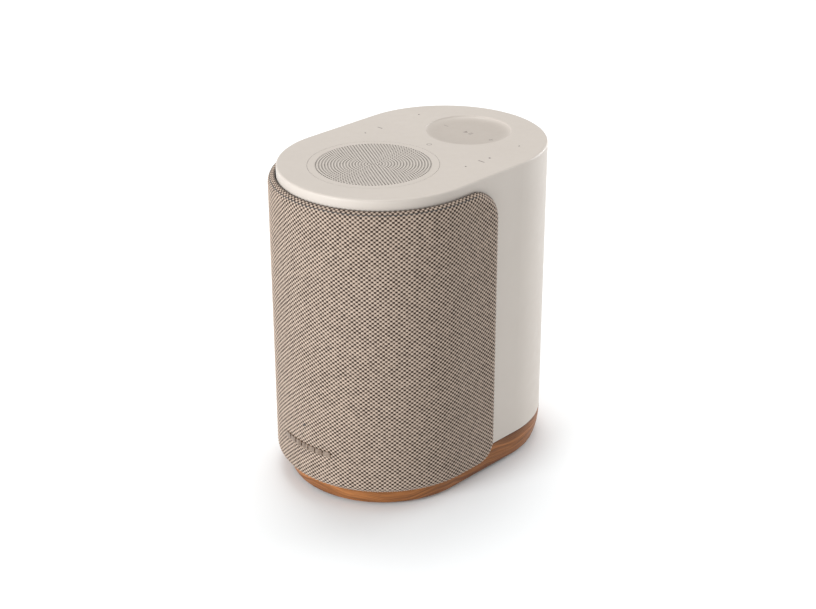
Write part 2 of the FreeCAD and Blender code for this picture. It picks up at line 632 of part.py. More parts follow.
def build_power_supply():
    """Board on four feet over the base plate, with three capacitors and a transformer."""
    z = SPACER_TOP + BASE_PLATE_THICKNESS + SUPPLY_LIFT
    top = z + BOARD
    supply = box((-SUPPLY_X, SUPPLY_X), SUPPLY_SPAN_Y, (z, top))
    feet_x, feet_y = SUPPLY_X - 4, (SUPPLY_SPAN_Y[0] + 4, SUPPLY_SPAN_Y[1] - 4)
    feet = [rod(2.5, SUPPLY_LIFT, V(x, y, z - SUPPLY_LIFT)) for x in (-feet_x, feet_x) for y in feet_y]
    cans = [rod(CAPACITOR_RADIUS, CAPACITOR_HEIGHT, V(CAPACITOR_X, y, top)) for y in (38, 52)]
    cans.append(rod(4.0, 14, V(26, 40, top)))
    parts["power_supply_board"] = fused(supply, *feet, *cans)
    core = box((-8, 14), (32, 54), (top, top + 17))
    winding = box((-11, 17), (36, 50), (top, top + 12))
    parts["transformer"] = fused(core, winding)


def build_touch_and_sound_inputs():
    """What hangs under the top face: touch board, microphones, status light and the flat cable."""
    touch_low = HEIGHT - DISH_DEPTH - DISH_FLOOR - TOUCH_BOARD_THICKNESS
    parts["touch_sensor_board"] = rod(TOUCH_BOARD_RADIUS, TOUCH_BOARD_THICKNESS, V(0, DISH_Y, touch_low))
    under = HEIGHT - TOP_THICKNESS
    plug = rod(MIC_RADIUS, TOP_THICKNESS - MIC_PLUG_DEPTH)
    microphone = fused(rod(3.5, 1.0, V(0, 0, -1.0)), rod(1.8, 1.2, V(0, 0, -2.2)), plug)
    parts["microphones"] = Part.makeCompound([moved(microphone, V(x, y, under)) for x, y in MIC_PLACES])
    x, y = TOP_LED_PLACE
    parts["top_light_pipe"] = rod(TOP_LED_RADIUS, TOP_THICKNESS + 1, V(x, y, under - 1.0))
    parts["top_light_board"] = box((x - 4, x + 4), (y - 4, y + 4), (under - 2.2, under - 1.0))
    width, outer = (-RIBBON_HALF_WIDTH, RIBBON_HALF_WIDTH), RIBBON_Y + RIBBON_THICKNESS
    down = box(width, (RIBBON_Y, outer), (RIBBON_LOW, RIBBON_HIGH))
    up = box(width, (RIBBON_Y, RIBBON_Y + 1.5), (RIBBON_HIGH, touch_low))
    foot = box(width, (MAIN_Y + BOARD, outer), (RIBBON_LOW, RIBBON_LOW + RIBBON_THICKNESS))
    parts["touch_ribbon_cable"] = fused(down, up, foot)


def build_electronics():
    parts["board_screws"] = Part.makeCompound(build_amplifier() + build_main_board())
    cut_from("board_screws", "amplifier_board", "main_board", "main_board_brackets", "cabinet_back")
    build_power_supply()
    outer = ANTENNA_X + ANTENNA_THICKNESS
    strips = [box(span, (26, 46), (120, 150)) for span in ((-outer, -ANTENNA_X), (ANTENNA_X, outer))]
    parts["antennas"] = Part.makeCompound(strips)
    build_touch_and_sound_inputs()


# ---- Rear panel ------------------------------------------------------------------------------

def around(x, z, half_x, half_z, y_span):
    """Block centred on a place of the rear panel."""
    return box((x - half_x, x + half_x), y_span, (z - half_z, z + half_z))


def rear_panel():
    """Flat panel set back into the round of the case, with a floor and a ceiling out to the case."""
    half = PANEL_HALF_WIDTH - PANEL_FIT
    low, high = PANEL_LOW + PANEL_FIT, PANEL_HIGH - PANEL_FIT
    inner = PANEL_FACE_Y - PANEL_THICKNESS
    panel = box((-half, half), (inner, PANEL_FACE_Y), (low, high))
    for span in ((low, low + SHELF), (high - SHELF, high)):
        shelf = box((-half, half), (inner, 120), span)
        panel = fused(panel, shelf.common(stadium(CASE_RADIUS - 0.4, *span)))
    depth = (PANEL_FACE_Y - 10, PANEL_FACE_Y + 10)
    holes = [
        around(INLET_X, INLET_Z, INLET_HALF_X, INLET_HALF_Z, depth),
        around(USB_X, USB_Z, USB_HALF_X + 0.3, USB_HALF_Z + 0.3, depth),
        rod(BUTTON_RADIUS + 0.4, 20, V(BUTTON_X, depth[0], BUTTON_Z), BACK),
        around(SWITCH_X, SWITCH_Z, 4.4, 1.7, depth),
    ]
    return panel.cut(holes)


def power_inlet():
    """Figure-8 socket: two round wells joined by a slot."""
    face = PANEL_FACE_Y
    body = around(INLET_X, INLET_Z, INLET_HALF_X, INLET_HALF_Z, (face - INLET_BODY_DEPTH, face))
    floor = face - WELL_DEPTH
    wells = [rod(WELL_RADIUS, WELL_DEPTH, V(INLET_X + x, floor, INLET_Z), BACK) for x in (-WELL_X, WELL_X)]
    return body.cut(wells + [around(INLET_X, INLET_Z, WELL_X, NECK_HALF_Z, (floor, face))])


def inlet_pins():
    places = [V(INLET_X + x, PANEL_FACE_Y - WELL_DEPTH, INLET_Z) for x in (-WELL_X, WELL_X)]
    return Part.makeCompound([rod(PIN_RADIUS, PIN_LENGTH, place, BACK) for place in places])


def usb_socket(board_face):
    """Metal sleeve with a tongue, on a block that stands on the socket board."""
    start = PANEL_FACE_Y - USB_DEPTH
    sleeve = around(USB_X, USB_Z, USB_HALF_X, USB_HALF_Z, (start, PANEL_FACE_Y - 0.3))
    mouth = (start + 1, PANEL_FACE_Y)
    room = around(USB_X, USB_Z, USB_HALF_X - USB_WALL, USB_HALF_Z - USB_WALL, mouth)
    tongue = around(USB_X, USB_Z, USB_HALF_X - 1.5, 0.35, (start + 1, start + 6))
    block = around(USB_X, USB_Z, USB_HALF_X, USB_HALF_Z, (board_face, start))
    return fused(sleeve.cut(room), tongue, block)


def build_rear():
    face = PANEL_FACE_Y
    board_y = face - SOCKET_BOARD_DEPTH
    board_face = board_y + SOCKET_BOARD_THICKNESS
    parts["rear_panel"] = rear_panel()
    parts["power_inlet"] = power_inlet()
    parts["power_inlet_pins"] = inlet_pins()
    parts["usb_socket"] = usb_socket(board_face)
    stem = rod(BUTTON_RADIUS, 3.6, V(BUTTON_X, face - 3.0, BUTTON_Z), BACK)
    flange = rod(BUTTON_FLANGE_RADIUS, 0.8, V(BUTTON_X, face - 3.7, BUTTON_Z), BACK)
    parts["pairing_button"] = fused(stem, flange)
    knob_x = (SWITCH_X - 2.6, SWITCH_X + 0.2)
    knob_z = (SWITCH_Z - KNOB_HALF_Z, SWITCH_Z + KNOB_HALF_Z)
    parts["microphone_switch_slider"] = box(knob_x, (face - 4.4, face + 0.4), knob_z)
    plate = box((-0.5, 27.0), (board_y, board_face), (28, 48))
    switch_depth = (board_face, face - SWITCH_BODY_DEPTH)
    button_switch = around(BUTTON_X, BUTTON_Z, 3, 3, switch_depth)
    slide_switch = around(SWITCH_X, SWITCH_Z, 5, 2, switch_depth)
    parts["socket_board"] = fused(plate, button_switch, slide_switch)


# ---- Assembly --------------------------------------------------------------------------------

def cut_from(tool_name, *names):
    """Make room in the named parts for a part that passes through them."""
    for name in names:
        parts[name] = parts[name].cut(parts[tool_name])


def build_case():
    parts["touch_icons"] = touch_icons()
    parts["housing_shell"] = housing_shell(parts["touch_icons"])
    parts["top_grille"] = top_grille()
    parts["top_grille_support"] = top_grille_support()
    parts["fabric_cover"] = fabric_cover()
    parts["grille_frame"] = grille_frame()
    parts["badge"] = badge()
    parts["front_light"] = front_light()
    cut_from("badge", "fabric_cover", "grille_frame")
    cut_from("front_light", "fabric_cover", "grille_frame")


build_case()
build_base()
build_drivers()
build_cabinet()
build_electronics()
build_rear()

os.makedirs("parts", exist_ok=True)
for part_name, part_shape in parts.items():
    part_shape.exportStep("parts/" + part_name + ".step")
    span = part_shape.BoundBox
    low = (round(span.XMin, 1), round(span.YMin, 1), round(span.ZMin, 1))
    high = (round(span.XMax, 1), round(span.YMax, 1), round(span.ZMax, 1))
    volume = round(part_shape.Volume, 1)
    print(part_name, len(part_shape.Solids), "solids, valid", part_shape.isValid(), volume, low, high)
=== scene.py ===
import json
import math

import bpy
import numpy as np
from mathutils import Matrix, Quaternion, Vector


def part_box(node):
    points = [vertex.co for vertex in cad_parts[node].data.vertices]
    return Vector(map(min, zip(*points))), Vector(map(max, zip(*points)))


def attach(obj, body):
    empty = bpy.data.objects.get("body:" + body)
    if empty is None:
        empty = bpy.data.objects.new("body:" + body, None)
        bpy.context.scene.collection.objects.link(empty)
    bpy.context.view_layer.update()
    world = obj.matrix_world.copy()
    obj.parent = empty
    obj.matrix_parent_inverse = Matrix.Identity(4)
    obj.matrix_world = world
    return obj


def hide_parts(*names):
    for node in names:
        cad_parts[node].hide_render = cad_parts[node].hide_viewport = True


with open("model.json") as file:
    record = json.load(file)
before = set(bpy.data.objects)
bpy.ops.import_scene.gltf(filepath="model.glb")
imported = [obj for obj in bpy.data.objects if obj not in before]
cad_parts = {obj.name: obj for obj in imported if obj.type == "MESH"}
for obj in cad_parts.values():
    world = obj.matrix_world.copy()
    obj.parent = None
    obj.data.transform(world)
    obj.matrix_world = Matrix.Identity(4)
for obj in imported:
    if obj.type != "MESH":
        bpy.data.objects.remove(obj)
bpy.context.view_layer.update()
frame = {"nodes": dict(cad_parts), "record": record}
nodes = frame["nodes"]
MM = 0.001

# ---- Places ------------------------------------------------------------------------------------

shell_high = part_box("housing_shell")[1]
fabric_low, fabric_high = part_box("fabric_cover")
wood_low, wood_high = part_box("wood_base")

FABRIC_OVERLAP = 1.2 * MM      # the cloth reaches this far past its CAD solid, below and behind

CASE_RADIUS = shell_high.x
ROUND_Y = shell_high.y - CASE_RADIUS
TOP_Z = shell_high.z
FABRIC_RADIUS = fabric_high.x
FABRIC_BACK_Y = fabric_high.y + FABRIC_OVERLAP
FABRIC_BOTTOM = fabric_low.z - FABRIC_OVERLAP
FABRIC_TOP = fabric_high.z

# Middles and radii in plan of the shell's painted shade: the dish, the grille's seam and the microphone
# holes.
DISH_Y = 46.5 * MM
DISH_RADIUS = 25.6 * MM
GRILLE_Y = -33.25 * MM
SEAM_RADIUS = 38.0 * MM
MIC_PLACES = [(x * MM, y * MM) for x in (-40.3, 40.3) for y in (0.0, 46.0)]
MIC_HOLE = 0.6 * MM


def around(distance, radius):
    """Point in plan at a radius, this far along the fabric's outline from the front centre towards +X."""
    side = math.copysign(1, distance)
    reach = abs(distance)
    quarter = FABRIC_RADIUS * math.pi / 2
    flat = 2 * ROUND_Y
    if reach <= quarter:
        turn = reach / FABRIC_RADIUS
        return side * radius * math.sin(turn), -ROUND_Y - radius * math.cos(turn)
    if reach <= quarter + flat:
        return side * radius, -ROUND_Y + reach - quarter
    turn = (reach - quarter - flat) / FABRIC_RADIUS
    return side * radius * math.cos(turn), ROUND_Y + radius * math.sin(turn)


# ---- Node material helpers ---------------------------------------------------------------------

class Nodes:
    """Short way to write a material's node tree."""

    def __init__(self, name, roughness=0.5):
        self.material = bpy.data.materials.new(name)
        self.material.use_nodes = True
        self.tree = self.material.node_tree
        self.shader = self.tree.nodes["Principled BSDF"]
        self.shader.inputs["Roughness"].default_value = roughness

    def add(self, kind, **values):
        node = self.tree.nodes.new(kind)
        for key, value in values.items():
            setattr(node, key, value)
        return node

    def link(self, out, socket):
        self.tree.links.new(out, socket)

    def math(self, operation, first, second=None):
        node = self.add("ShaderNodeMath", operation=operation)
        for index, value in enumerate((first, second)):
            if value is None:
                continue
            if isinstance(value, (int, float)):
                node.inputs[index].default_value = value
            else:
                self.link(value, node.inputs[index])
        return node.outputs[0]

    def noise(self, scale, vector, detail=3.0, rough=0.55):
        node = self.add("ShaderNodeTexNoise")
        node.inputs["Scale"].default_value = scale
        node.inputs["Detail"].default_value = detail
        node.inputs["Roughness"].default_value = rough
        self.link(vector, node.inputs["Vector"])
        return node.outputs["Fac"]

    def remap(self, value, low, high, to_low, to_high, smooth=False):
        node = self.add("ShaderNodeMapRange", interpolation_type="SMOOTHSTEP" if smooth else "LINEAR")
        for index, number in enumerate((low, high, to_low, to_high)):
            node.inputs[index + 1].default_value = number
        self.link(value, node.inputs[0])
        return node.outputs[0]

    def mix(self, factor, first, second, blend="MIX"):
        node = self.add("ShaderNodeMix", data_type="RGBA", blend_type=blend)
        for socket, value in ((node.inputs[0], factor), (node.inputs[6], first), (node.inputs[7], second)):
            if isinstance(value, (int, float)):
                socket.default_value = value
            elif isinstance(value, (tuple, list)):
                socket.default_value = (*value, 1.0)
            else:
                self.link(value, socket)
        return node.outputs[2]

    def coords(self):
        return self.add("ShaderNodeTexCoord").outputs["Object"]

    def split(self, vector):
        node = self.add("ShaderNodeSeparateXYZ")
        self.link(vector, node.inputs[0])
        return node.outputs

    def scaled(self, vector, scale):
        node = self.add("ShaderNodeMapping")
        node.inputs["Scale"].default_value = scale
        self.link(vector, node.inputs["Vector"])
        return node.outputs[0]

    def bump(self, height, strength, distance):
        node = self.add("ShaderNodeBump")
        node.inputs["Strength"].default_value = strength
        node.inputs["Distance"].default_value = distance
        self.link(height, node.inputs["Height"])
        return node.outputs[0]

    def finish(self, color=None, roughness=None, normal=None):
        for value, name in ((color, "Base Color"), (roughness, "Roughness"), (normal, "Normal")):
            if value is not None:
                self.link(value, self.shader.inputs[name])
        return self.material


def moulded_surface(n, where, light, dark, rough=(0.42, 0.55), depth=0.00004):
    """Colour, gloss and normal of fine spark-eroded plastic: slight mottling and a fine grain."""
    cloud = n.noise(38.0, where, 4.0)
    speck = n.noise(2600.0, where, 2.0)
    color = n.mix(n.remap(cloud, 0.3, 0.7, 0.0, 1.0), light, dark)
    gloss = n.remap(n.noise(160.0, where), 0.3, 0.7, *rough)
    return color, gloss, n.bump(speck, 0.35, depth)


def moulded_plastic(name, light, dark, rough=(0.42, 0.55), depth=0.00004):
    """The same moulded surface all over."""
    n = Nodes(name)
    return n.finish(*moulded_surface(n, n.coords(), light, dark, rough, depth))


# Colour of the painted shade in the touch dish.
DISH_PAINTED_SHADE = (0.385, 0.342, 0.302)
# Paler and deeper tones of the painted shade in holes and narrow gaps.
GAP_SHADE_PALE = (0.03, 0.026, 0.022)
GAP_SHADE_DEEP = (0.02, 0.017, 0.014)

# Heights at which a painted shade is full and at which it starts.
HOLE_SHADE = (TOP_Z - 0.16 * MM, TOP_Z - 0.04 * MM)
SEAM_SHADE = (TOP_Z - 0.06 * MM, TOP_Z - 0.02 * MM)
DISH_SHADE = (TOP_Z - 2.0 * MM, TOP_Z - 0.2 * MM)


def gap_shade(n, where):
    """Painted shade of a narrow gap or hole: near-black brown."""
    return n.mix(n.remap(n.noise(900.0, where), 0.3, 0.7, 0, 1), GAP_SHADE_PALE, GAP_SHADE_DEEP)


def within(n, where, place, radius):
    """1 inside a circle in plan and 0 outside it."""
    flat = n.add("ShaderNodeVectorMath", operation="MULTIPLY")
    flat.inputs[1].default_value = (1, 1, 0)
    away = n.add("ShaderNodeVectorMath", operation="DISTANCE")
    away.inputs[1].default_value = (place[0], place[1], 0)
    n.link(where, flat.inputs[0])
    n.link(flat.outputs[0], away.inputs[0])
    return n.math("LESS_THAN", away.outputs["Value"], radius)


def perforated_plastic(name, light, dark):
    """Moulded plastic with painted shade just below the top face, inside the holes and down the rim."""
    n = Nodes(name)
    where = n.coords()
    # Painted shade: the hole walls and the rim turn near-black below the top face.
    below = n.remap(n.split(where)[2], *HOLE_SHADE, 1.0, 0.0)
    face, gloss, normal = moulded_surface(n, where, light, dark)
    return n.finish(n.mix(below, face, gap_shade(n, where)), gloss, normal)


def shell_plastic(name, light, dark):
    """The shell's plastic, with painted shade inside the microphone holes, down the grille's seam and in
    the dish.
    """
    n = Nodes(name)
    where = n.coords()
    height = n.split(where)[2]
    face, gloss, normal = moulded_surface(n, where, light, dark)
    sunk = n.remap(height, *SEAM_SHADE, 1.0, 0.0)
    # Painted shade in the touch dish, deeper towards its floor.
    dish_shade_depth = n.remap(height, *DISH_SHADE, 0.85, 0.0, smooth=True)
    dish_shade_mask = n.math("MULTIPLY", dish_shade_depth, within(n, where, (0, DISH_Y), DISH_RADIUS))
    face = n.mix(dish_shade_mask, face, DISH_PAINTED_SHADE)
    # Painted shade inside the microphone holes.
    for place in MIC_PLACES:
        face = n.mix(n.math("MULTIPLY", sunk, within(n, where, place, MIC_HOLE)), face, gap_shade(n, where))
    # Painted shade down the seam between the shell and the grille.
    seam = n.math("MULTIPLY", sunk, within(n, where, (0, GRILLE_Y), SEAM_RADIUS))
    return n.finish(n.mix(seam, face, gap_shade(n, where)), gloss, normal)


def metal(name, light, dark, rough=(0.28, 0.42), stretch=(1, 1, 60), scale=900.0):
    """Brushed or plated metal with fine streaks."""
    n = Nodes(name)
    n.shader.inputs["Metallic"].default_value = 1.0
    streak = n.noise(scale, n.scaled(n.coords(), stretch), 3.0)
    color = n.mix(n.remap(streak, 0.3, 0.7, 0, 1), light, dark)
    return n.finish(color, n.remap(streak, 0.3, 0.7, *rough), n.bump(streak, 0.15, 0.00003))


def rubber(name, light, dark):
    """Dull rubber with a little dust."""
    n = Nodes(name)
    where = n.coords()
    color = n.mix(n.remap(n.noise(120.0, where), 0.35, 0.65, 0, 1), light, dark)
    dust = n.noise(1800.0, where, 2.0)
    n.shader.inputs["Specular IOR Level"].default_value = 0.3
    return n.finish(color, n.remap(dust, 0.3, 0.7, 0.62, 0.85), n.bump(dust, 0.3, 0.00005))


def woven_inner(name, light, dark, pitch=0.0012):
    """Plain fine weave for the hidden cloth parts."""
    n = Nodes(name, 0.8)
    wave = n.add("ShaderNodeTexWave", wave_type="BANDS", bands_direction="DIAGONAL")
    wave.inputs["Scale"].default_value = 0.35 / pitch
    wave.inputs["Distortion"].default_value = 1.5
    n.link(n.coords(), wave.inputs["Vector"])
    thread = wave.outputs["Fac"]
    return n.finish(n.mix(thread, dark, light), None, n.bump(thread, 0.5, 0.0002))


def circuit_board(name):
    """Green solder mask with paler tracks and small dull specks."""
    n = Nodes(name, 0.35)
    where = n.coords()
    cells = n.add("ShaderNodeTexVoronoi", feature="DISTANCE_TO_EDGE", distance="CHEBYCHEV")
    cells.inputs["Scale"].default_value = 260.0
    n.link(where, cells.inputs["Vector"])
    track = n.remap(cells.outputs["Distance"], 0.02, 0.06, 1.0, 0.0)
    color = n.mix(track, (0.01, 0.09, 0.04), (0.03, 0.2, 0.09))
    return n.finish(color, n.remap(n.noise(300.0, where), 0.3, 0.7, 0.3, 0.5), n.bump(track, 0.3, 0.00004))


# ---- Materials ---------------------------------------------------------------------------------

YARN_LIGHT = (0.44, 0.343, 0.274)
YARN_DARK = (0.345, 0.263, 0.205)
YARN_PATCH = (0.31, 0.235, 0.18)
YARN_PAINTED_HIGHLIGHT = (0.53, 0.445, 0.378)
WEAVE_GAP = (0.02, 0.011, 0.007)
FOLD_SHADE = (0.012, 0.008, 0.006)


def fabric_material():
    """Two-tone cloth with a painted highlight on the yarn crests and painted shade on the rolled edges. The
    UV map counts yarn crossings, so every second crossing is a dark gap.
    """
    n = Nodes("grille_cloth", 0.85)
    uv = n.add("ShaderNodeUVMap", uv_map="weave").outputs[0]
    waves = [n.math("COSINE", n.math("MULTIPLY", axis, math.pi)) for axis in n.split(uv)[:2]]
    check = n.math("MULTIPLY", *waves)
    cell = n.add("ShaderNodeVectorMath", operation="SNAP")
    cell.inputs[1].default_value = (1, 1, 1)
    shifted = n.add("ShaderNodeVectorMath", operation="ADD")
    shifted.inputs[1].default_value = (0.5, 0.5, 0)
    n.link(uv, shifted.inputs[0])
    n.link(shifted.outputs[0], cell.inputs[0])
    random = n.add("ShaderNodeTexWhiteNoise", noise_dimensions="2D")
    n.link(cell.outputs[0], random.inputs["Vector"])
    luck = random.outputs["Value"]
    depth = n.math("ADD", check, n.remap(luck, 0, 1, -0.16, 0.22))
    gap = n.remap(depth, -0.62, 0.58, 1.0, 0.0, smooth=True)
    fibre = n.noise(9.0, n.scaled(uv, (0.35, 1.6, 1)), 4.0, 0.7)
    broad = n.noise(0.05, uv, 3.0)
    light = n.mix(n.remap(fibre, 0.3, 0.7, 0, 1), YARN_DARK, YARN_LIGHT)
    light = n.mix(n.remap(broad, 0.35, 0.65, 0, 0.25), light, YARN_PATCH)
    # Painted highlight on the yarn crests.
    painted_crest_highlight = n.remap(check, 0.1, 1.0, 0.0, 0.5, smooth=True)
    light = n.mix(painted_crest_highlight, light, YARN_PAINTED_HIGHLIGHT)
    color = n.mix(gap, light, WEAVE_GAP)
    painted_fold_shade = n.add("ShaderNodeAttribute", attribute_name="painted_fold_shade").outputs["Fac"]
    # Painted shade on the rolled and tucked edges of the cloth.
    color = n.mix(n.remap(painted_fold_shade, 0.0, 0.9, 0.0, 0.88), color, FOLD_SHADE)
    thread = n.math("ADD", n.remap(check, -1, 1, 0, 1), n.remap(fibre, 0, 1, 0, 0.25))
    n.shader.inputs["Sheen Weight"].default_value = 0.08
    n.shader.inputs["Sheen Roughness"].default_value = 0.5
    n.shader.inputs["Specular IOR Level"].default_value = 0.25
    return n.finish(color, n.remap(fibre, 0.3, 0.7, 0.75, 0.95), n.bump(thread, 0.7, 0.0003))


WOOD_DARK = (0.11, 0.036, 0.009)
WOOD_LIGHT = (0.42, 0.165, 0.05)
WOOD_STREAK = (0.085, 0.03, 0.01)
WOOD_PORE = (0.04, 0.015, 0.006)
GRAIN_DRIFT = 0.022            # metres that the grain wanders up and down


def wood_material():
    """Oiled walnut. The grain's place is a point on a ring as long as the side, and the height."""
    n = Nodes("oiled_walnut", 0.45)
    place = n.add("ShaderNodeAttribute", attribute_name="grain").outputs["Vector"]
    warp = n.add("ShaderNodeTexNoise")
    warp.inputs["Scale"].default_value = 18.0
    warp.inputs["Detail"].default_value = 2.0
    n.link(place, warp.inputs["Vector"])
    drift = n.add("ShaderNodeVectorMath", operation="SCALE")
    drift.inputs["Scale"].default_value = GRAIN_DRIFT
    n.link(warp.outputs["Color"], drift.inputs[0])
    bent = n.add("ShaderNodeVectorMath", operation="ADD")
    n.link(place, bent.inputs[0])
    n.link(drift.outputs[0], bent.inputs[1])
    figure = n.noise(1.0, n.scaled(bent.outputs[0], (9, 9, 260)), 5.0, 0.6)
    streak = n.noise(1.0, n.scaled(bent.outputs[0], (30, 30, 1500)), 3.0, 0.6)
    pores = n.noise(1.0, n.scaled(place, (140, 140, 4200)), 2.0, 0.5)
    pore = n.remap(pores, 0.6, 0.7, 0.0, 1.0, smooth=True)
    color = n.mix(n.remap(figure, 0.3, 0.7, 0, 1, smooth=True), WOOD_DARK, WOOD_LIGHT)
    color = n.mix(n.remap(streak, 0.35, 0.7, 0, 0.65), color, WOOD_STREAK)
    color = n.mix(n.math("MULTIPLY", pore, 0.55), color, WOOD_PORE)
    height = n.math("SUBTRACT", n.remap(streak, 0, 1, 0, 0.4), pore)
    n.shader.inputs["Specular IOR Level"].default_value = 0.25
    return n.finish(color, n.remap(streak, 0.3, 0.7, 0.38, 0.58), n.bump(height, 0.4, 0.00008))


SHELL_PLASTIC = shell_plastic("warm_white_plastic", (0.478, 0.434, 0.391), (0.464, 0.420, 0.378))
GRILLE_PLASTIC = perforated_plastic("grille_plastic", (0.474, 0.43, 0.387), (0.46, 0.416, 0.373))
PANEL_PLASTIC = moulded_plastic("panel_plastic", (0.43, 0.40, 0.37), (0.41, 0.38, 0.35))
BLACK_PLASTIC = moulded_plastic("black_plastic", (0.028, 0.027, 0.026), (0.018, 0.018, 0.018), (0.45, 0.65))
ICON_INK = moulded_plastic("icon_ink", (0.22, 0.19, 0.17), (0.18, 0.155, 0.14), (0.5, 0.6))
LENS = moulded_plastic("smoked_lens", (0.06, 0.055, 0.05), (0.045, 0.04, 0.04), (0.12, 0.2), depth=0.00001)
BRONZE = metal("bronze_metal", (0.42, 0.34, 0.28), (0.20, 0.145, 0.11), (0.18, 0.32), (1, 1, 0.1), 420.0)

MATERIAL_OF_SLOT = {
    "shell_plastic": SHELL_PLASTIC,
    "grille_plastic": GRILLE_PLASTIC,
    "panel_plastic": PANEL_PLASTIC,
    "black_plastic": BLACK_PLASTIC,
    "icon_print": ICON_INK,
    "light_lens": LENS,
    "badge_metal": BRONZE,
    "foot_rubber": rubber("foot_rubber", (0.035, 0.034, 0.033), (0.022, 0.022, 0.022)),
    "surround_rubber": rubber("surround_rubber", (0.03, 0.03, 0.03), (0.02, 0.02, 0.02)),
    "screw_steel": metal("plated_steel", (0.45, 0.45, 0.46), (0.33, 0.33, 0.34)),
    "basket_steel": metal("black_steel", (0.06, 0.06, 0.065), (0.035, 0.035, 0.04), (0.4, 0.55)),
    "magnet_iron": metal("ferrite", (0.12, 0.12, 0.125), (0.07, 0.07, 0.075), (0.5, 0.65)),
    "coil_copper": metal("copper_wire", (0.72, 0.36, 0.2), (0.55, 0.24, 0.12), stretch=(1, 60, 1)),
    "diaphragm_metal": metal("dark_aluminium", (0.22, 0.22, 0.23), (0.15, 0.15, 0.16)),
    "sink_aluminium": metal("extruded_aluminium", (0.66, 0.66, 0.68), (0.55, 0.55, 0.57)),
    "pin_brass": metal("nickel_pins", (0.72, 0.66, 0.5), (0.6, 0.54, 0.4)),
    "cone_paper": woven_inner("coated_paper", (0.06, 0.06, 0.06), (0.03, 0.03, 0.03), 0.0008),
    "dome_silk": woven_inner("coated_silk", (0.07, 0.07, 0.07), (0.03, 0.03, 0.03), 0.0005),
    "spider_cloth": woven_inner("spider_cloth", (0.6, 0.42, 0.15), (0.36, 0.24, 0.08)),
    "foam": woven_inner("open_foam", (0.14, 0.14, 0.14), (0.05, 0.05, 0.05), 0.003),
    "board_green": circuit_board("circuit_board"),
}


def dress_cad_nodes():
    """Give every carried-over CAD node the finish of its own material slot."""
    for part in frame["record"]["subparts"]:
        finish = MATERIAL_OF_SLOT.get(part["material_slot"])
        if finish is None:
            continue
        mesh = nodes[part["node"]].data
        mesh.materials.clear()
        mesh.materials.append(finish)


# ---- Mesh helpers ------------------------------------------------------------------------------

def mesh_piece(name, points, faces, material, replaced):
    """Smooth mesh that rides on the speaker body and stands for one CAD node."""
    mesh = bpy.data.meshes.new(name)
    mesh.from_pydata([tuple(p) for p in points], [], [tuple(f) for f in faces])
    mesh.validate()
    mesh.update()
    mesh.shade_smooth()
    mesh.materials.append(material)
    piece = bpy.data.objects.new(name, mesh)
    bpy.context.scene.collection.objects.link(piece)
    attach(piece, "speaker")
    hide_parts(replaced)
    return piece


def set_uv(mesh, name, values):
    """Store one UV pair per point, spread to the face corners."""
    layer = mesh.uv_layers.new(name=name)
    corners = np.zeros(len(mesh.loops), np.int64)
    mesh.loops.foreach_get("vertex_index", corners)
    layer.data.foreach_set("uv", np.asarray(values, np.float32)[corners].ravel())


# ---- Fabric cover ------------------------------------------------------------------------------

YARN_ACROSS = 1.47 * MM
YARN_UP = 1.25 * MM
ROLL_RADIUS = 4.2 * MM
TUCK_DEPTH = 4.3 * MM
TOP_CORNER = 20.0 * MM
LOW_CORNER = 13.5 * MM
WEAVE_RELIEF = 0.32 * MM
FOLD_START = 0.8               # share of the roll after which its shade sets in, at the top and bottom
SIDE_FOLD_START = 0.1          # the same at the two rear edges


